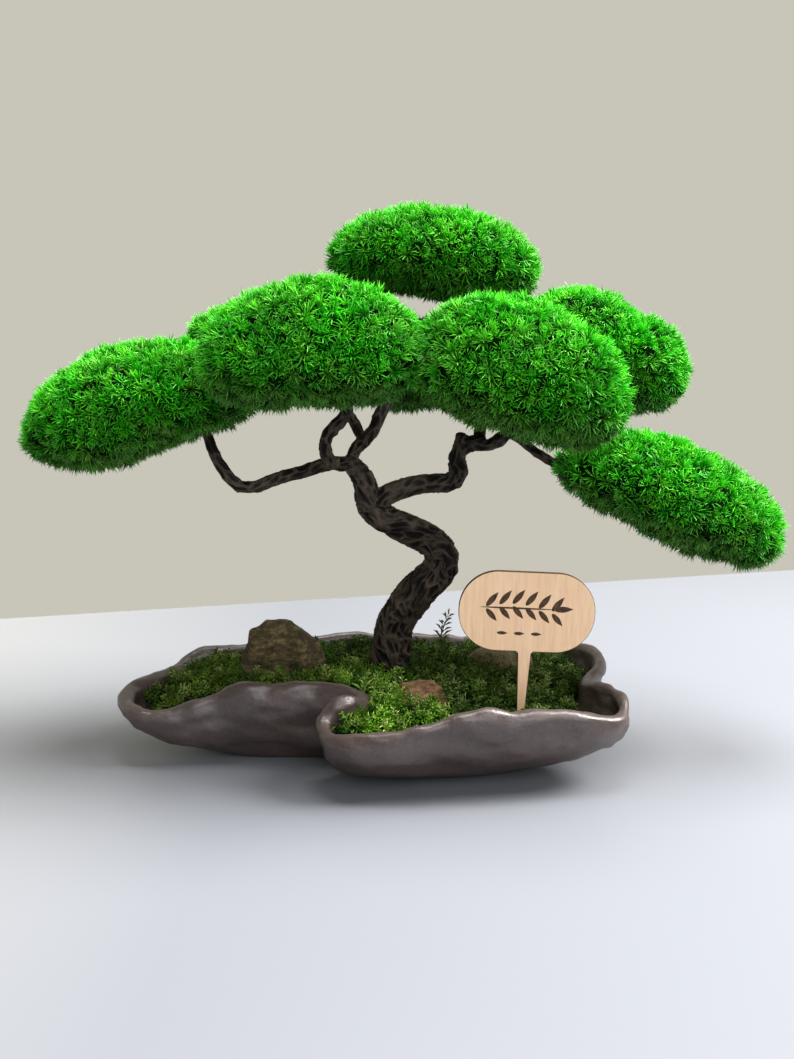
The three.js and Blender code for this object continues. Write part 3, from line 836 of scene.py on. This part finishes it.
for name, node, place, height, pairs in SHOOTS:
    bm = bmesh.new()
    layer = bm.verts.layers.float.new("tip")
    sprig(random.Random(len(name)), height * MM, pairs, 9 * MM, 1.35 * MM)(bm, layer)
    bmesh.ops.recalc_face_normals(bm, faces=bm.faces)
    bmesh.ops.translate(bm, verts=bm.verts, vec=Vector(place) * MM)
    shoot = new_piece(name, bm)
    for label, value in (("tone", 0.75), ("sky", 1.0)):
        field = shoot.data.attributes.new(label, "FLOAT", "POINT")
        field.data.foreach_set("value", [value] * len(shoot.data.vertices))
    shoot.data.materials.append(MOSSES[node])
    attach(shoot, "root")
    print(name, "stands", height, "mm tall")

# %% [markdown]
# ## The stones
# Brown and olive field stones, broken rather than worn. Noise alone would leave them round
# like potatoes, so the CAD block first has flat faces cut off it, as a stone cleaves.
# Folded noise then breaks the faces into ledges, thin layers and grit.

# %% Stones
def rock_finish(name, dark, middle, light):
    rock = Finish(name, Roughness=0.9)
    bands = rock.noise(95, 7, 0.7, rock.place((1, 1, 2.6), (0.25, 0.3, 0)))
    rock_base = rock.ramp(bands, [(0.36, dark), (0.5, middle), (0.68, light)])
    grit = [(0.35, (0.45, 0.42, 0.38)), (0.7, (1.25, 1.2, 1.15))]
    specks = rock.ramp(rock.noise(700, 4, 0.75), grit)
    rock.color(rock.mix(0.85, rock_base, specks, "MULTIPLY"))
    rock.bump(rock.noise(260, 6, 0.7), 1.2 * MM, 0.8)
    return rock.material


ROCKS = {
    "stone_left": rock_finish(
        "olive_stone", (0.018, 0.014, 0.004), (0.085, 0.064, 0.022), (0.28, 0.21, 0.1)
    ),
    "stone_front": rock_finish(
        "rust_stone", (0.06, 0.03, 0.012), (0.24, 0.13, 0.06), (0.5, 0.34, 0.19)
    ),
    "stone_right": rock_finish(
        "grey_stone", (0.06, 0.052, 0.025), (0.22, 0.19, 0.1), (0.42, 0.37, 0.24)
    ),
}
CLEAVING_CUTS = 11


def cleave(piece, dice, cuts):
    """Cuts flat faces off a stone, each square to a random direction and a little inside it."""
    bm = bmesh.new()
    bm.from_mesh(piece.data)
    middle = sum((v.co for v in bm.verts), Vector()) / len(bm.verts)
    for _ in range(cuts):
        way = Vector((dice.uniform(-1, 1), dice.uniform(-1, 1), dice.uniform(-0.1, 1)))
        way.normalize()
        reach = max((v.co - middle).dot(way) for v in bm.verts)
        cut = bmesh.ops.bisect_plane(
            bm,
            geom=[*bm.verts, *bm.edges, *bm.faces],
            plane_co=middle + way * reach * dice.uniform(0.8, 0.94),
            plane_no=way,
            clear_outer=True,
        )
        edges = [g for g in cut["geom_cut"] if isinstance(g, bmesh.types.BMEdge)]
        bmesh.ops.contextual_create(bm, geom=edges)
    bmesh.ops.recalc_face_normals(bm, faces=bm.faces)
    bm.to_mesh(piece.data)
    bm.free()


def break_surface(piece, seed):
    """Ledges: the absolute value of noise folds the surface into low faces and sharp creases."""
    shift = Vector((seed, 2 * seed, 0))

    def height(place):
        folds = 0.5 - abs(noise.noise(place / (13 * MM) + shift)) * 1.8
        layers = noise.noise(Vector((place.x / 14, place.y / 14, place.z / 3.5)) / MM + shift)
        grit = noise.fractal(place / (4 * MM) + shift, 1.0, 2.0, 4)
        return (folds * 1.3 + layers * 0.8 + grit * 0.4 + 0.9) * MM

    push_out(piece, height)


# %% The three stones
for number, (node, finish) in enumerate(ROCKS.items()):
    stone = merged_copy(node, node.replace("stone", "rock"))
    cleave(stone, random.Random(70 + number), CLEAVING_CUTS)
    voxel_remesh(stone, 0.7 * MM, 2)
    break_surface(stone, 5.3 * number)
    shade_smooth(stone)
    finish_piece(stone, [node], "rock", finish)

# %% [markdown]
# ## The plant tag
# Thin birch plywood, cut by laser, which browns the edge. A small bevel carries the browned
# edge a little way onto the face. A sprig over three short dashes is burnt into the front.
# It could be painted by the material, but a real burn is sunk, so it is cut out with a
# boolean, and the cutter's material is what is left on the cut faces.

# %% Birch and scorch
birch = Finish("birch_ply", Roughness=0.55, Specular_IOR_Level=0.3)
fibres = birch.noise(90, 5, 0.6, birch.place((6, 1, 0.55)))
birch_base = birch.ramp(fibres, [(0.3, (0.84, 0.545, 0.335)), (0.7, (0.94, 0.66, 0.43))])
pores = birch.noise(900, 2, 0.5, birch.place((3, 1, 0.12)))
pore_shades = birch.ramp(pores, [(0.3, (0.72, 0.64, 0.58)), (0.5, WHITE)])
birch.color(birch.mix(0.3, birch_base, pore_shades, "MULTIPLY"))
birch.bump(pores, 0.08 * MM, 0.3)

scorch = Finish("laser_scorch", Roughness=0.8)
char = [(0.3, (0.03, 0.012, 0.005)), (0.7, (0.12, 0.06, 0.025))]
scorch.color(scorch.ramp(scorch.noise(500, 3, 0.6), char))

# %% The tag
EDGE_BEVEL = 0.28 * MM
tag = merged_copy("plant_tag", "tag")
tag_low, tag_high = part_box("plant_tag")
bm = bmesh.new()
bm.from_mesh(tag.data)
bmesh.ops.dissolve_limit(bm, angle_limit=math.radians(1), verts=bm.verts, edges=bm.edges)
rim_edges = [
    edge
    for edge in bm.edges
    if len(edge.link_faces) == 2 and any(abs(face.normal.y) > 0.9 for face in edge.link_faces)
]
bmesh.ops.bevel(
    bm,
    geom=rim_edges,
    offset=EDGE_BEVEL,
    segments=2,
    profile=0.5,
    affect="EDGES",
    material=-1,
    clamp_overlap=True,
)
for face in bm.faces:
    face.material_index = 0 if abs(face.normal.y) > 0.99 else 1
bmesh.ops.triangulate(bm, faces=bm.faces)
bm.to_mesh(tag.data)
bm.free()

# %% The burnt sprig
LEAN = math.radians(2.5)
HALF_BOARD = 20 * MM  # from the board's top to its middle
BOARD_MIDDLE = Vector(((tag_low.x + tag_high.x) / 2, tag_low.y, tag_high.z - HALF_BOARD))
BURN_DEPTH = 0.35 * MM


def add_leaf(bm, x, z, length, width, turn):
    """A flat leaf, pointed at one end, that stands through the face of the board."""
    made = bmesh.ops.create_cone(
        bm, cap_ends=True, segments=16, radius1=1, radius2=1, depth=2 * BURN_DEPTH
    )["verts"]
    for vertex in made:
        taper = 1 - 0.75 * max(vertex.co.x, 0) ** 1.5
        vertex.co.x *= length / 2
        vertex.co.y *= width / 2 * taper
    upright = Matrix.Rotation(-turn, 4, "Y") @ Matrix.Rotation(math.pi / 2, 4, "X")
    bmesh.ops.transform(bm, matrix=Matrix.Translation((x, 0, z)) @ upright, verts=made)


def sprig_motif():
    bm = bmesh.new()
    for i in range(6):
        x = (-15 + 5.4 * i) * MM
        rise = 1.4 * MM * math.sin(0.8 * i)
        add_leaf(bm, x + 3.2 * MM, rise + 4.4 * MM, 7.6 * MM, 2.5 * MM, math.radians(52))
        add_leaf(bm, x + 3.2 * MM, rise - 2.2 * MM, 6.8 * MM, 2.3 * MM, math.radians(-48))
    add_leaf(bm, 17.5 * MM, 1.2 * MM, 8 * MM, 2.6 * MM, math.radians(4))
    add_leaf(bm, 0, 1.0 * MM, 34 * MM, 0.8 * MM, 0)
    for x in (-7, 0, 7):
        add_leaf(bm, x * MM, -9.6 * MM, 4.4 * MM, 1.5 * MM, 0)
    centred = Matrix.Translation((-3.2 * MM, 0, 0)) @ Matrix.Diagonal((1.2, 1, 1.2, 1))
    turned = Matrix.Translation(BOARD_MIDDLE) @ Matrix.Rotation(LEAN, 4, "Y")
    bmesh.ops.transform(bm, matrix=turned @ centred, verts=bm.verts)
    return new_piece("burn_cutter", bm)


cutter = sprig_motif()
cutter.data.materials.append(scorch.material)
tag.data.materials.append(birch.material)
tag.data.materials.append(scorch.material)
burn = tag.modifiers.new("Burn", "BOOLEAN")
burn.operation = "DIFFERENCE"
burn.object = cutter
burn.solver = "EXACT"
burn.use_self = True
burn.material_mode = "TRANSFER"
bake_modifiers(tag)
bpy.data.objects.remove(cutter)
finish_piece(tag, ["plant_tag"], "birch")

# %% [markdown]
# ## Stage, light and camera
# A pale table ends behind the dish, with a warm grey room beyond it. A large soft window
# light comes from the upper right, a weaker one from above and a weak fill from the front.
# The room is only a surround of light, which is stronger behind the tree than in front,
# so no wall has to be built.

# %% The table
TABLE_EDGE = [Vector((-2.2, -0.245, 0)), Vector((2.6, 1.068, 0))]  # its back corners
TABLE_FRONT = -2.5
table_top = Finish("pale_table", Roughness=0.45)
# Painted light: the table's colour grows lighter and less blue towards the left, where the lamps
# leave it darker.
leftward = table_top.nodes.new("ShaderNodeTexGradient")
table_top.links.new(table_top.place((-2, 1, 1)), leftward.inputs["Vector"])
painted_light_tints = [(0.15, (0.23, 0.241, 0.27)), (0.85, grey(0.4))]
table_painted_light = table_top.ramp(leftward.outputs["Fac"], painted_light_tints)
cloudy = table_top.ramp(table_top.noise(3, 2, 0.5), [(0.3, grey(0.96)), (0.7, WHITE)])
table_top.color(table_top.mix(1.0, table_painted_light, cloudy, "MULTIPLY"))
bm = bmesh.new()
bmesh.ops.create_grid(bm, x_segments=1, y_segments=1, size=1)
for vertex in bm.verts:
    corner = TABLE_EDGE[int(vertex.co.x > 0)]
    vertex.co = corner if vertex.co.y > 0 else Vector((corner.x, TABLE_FRONT, 0))
table = new_piece("table", bm)
table.data.materials.append(table_top.material)


# %% Lights
def soft_light(name, place, aim, size, power, tint):
    data = bpy.data.lights.new(name, "AREA")
    data.shape = "DISK"
    data.size = size
    data.energy = power
    data.color = tint
    lamp = bpy.data.objects.new(name, data)
    lamp.location = place
    lamp.rotation_euler = (Vector(aim) - Vector(place)).to_track_quat("-Z", "Y").to_euler()
    bpy.context.scene.collection.objects.link(lamp)


soft_light("window", (1.05, 0.05, 1.1), (0, 0, 0.12), 0.8, 52, (1, 0.98, 0.95))
soft_light("overhead", (0.1, 0.1, 1.5), (0, 0, 0.1), 0.9, 30, (1, 1, 1))
soft_light("room_fill", (0.5, -1.4, 0.8), (0, 0, 0.1), 1.4, 12, (0.92, 0.96, 1))

# %% The room
room = bpy.data.worlds.new("warm_room")
room.use_nodes = True
sky_nodes, sky_links = room.node_tree.nodes, room.node_tree.links
background = sky_nodes["Background"]
background.inputs["Color"].default_value = (0.58, 0.56, 0.485, 1)
direction = sky_nodes.new("ShaderNodeTexCoord")
split = sky_nodes.new("ShaderNodeSeparateXYZ")
fall_off = sky_nodes.new("ShaderNodeMapRange")
fall_off.inputs["From Min"].default_value = -0.2
fall_off.inputs["From Max"].default_value = 0.6
fall_off.inputs["To Min"].default_value = 0.45
sky_links.new(direction.outputs["Generated"], split.inputs[0])
sky_links.new(split.outputs["Y"], fall_off.inputs["Value"])
sky_links.new(fall_off.outputs["Result"], background.inputs["Strength"])
bpy.context.scene.world = room
bpy.context.scene.view_settings.view_transform = "Standard"

# %% The camera
LOOKING_DOWN = 9.6  # degrees
camera_data = bpy.data.cameras.new("camera")
camera_data.sensor_width = 36
camera_data.lens = 37.05
camera = bpy.data.objects.new("camera", camera_data)
camera.location = (0.009, -0.58, 0.217)
camera.rotation_euler = (math.radians(90 - LOOKING_DOWN), 0, 0)
bpy.context.scene.collection.objects.link(camera)
bpy.context.scene.camera = camera
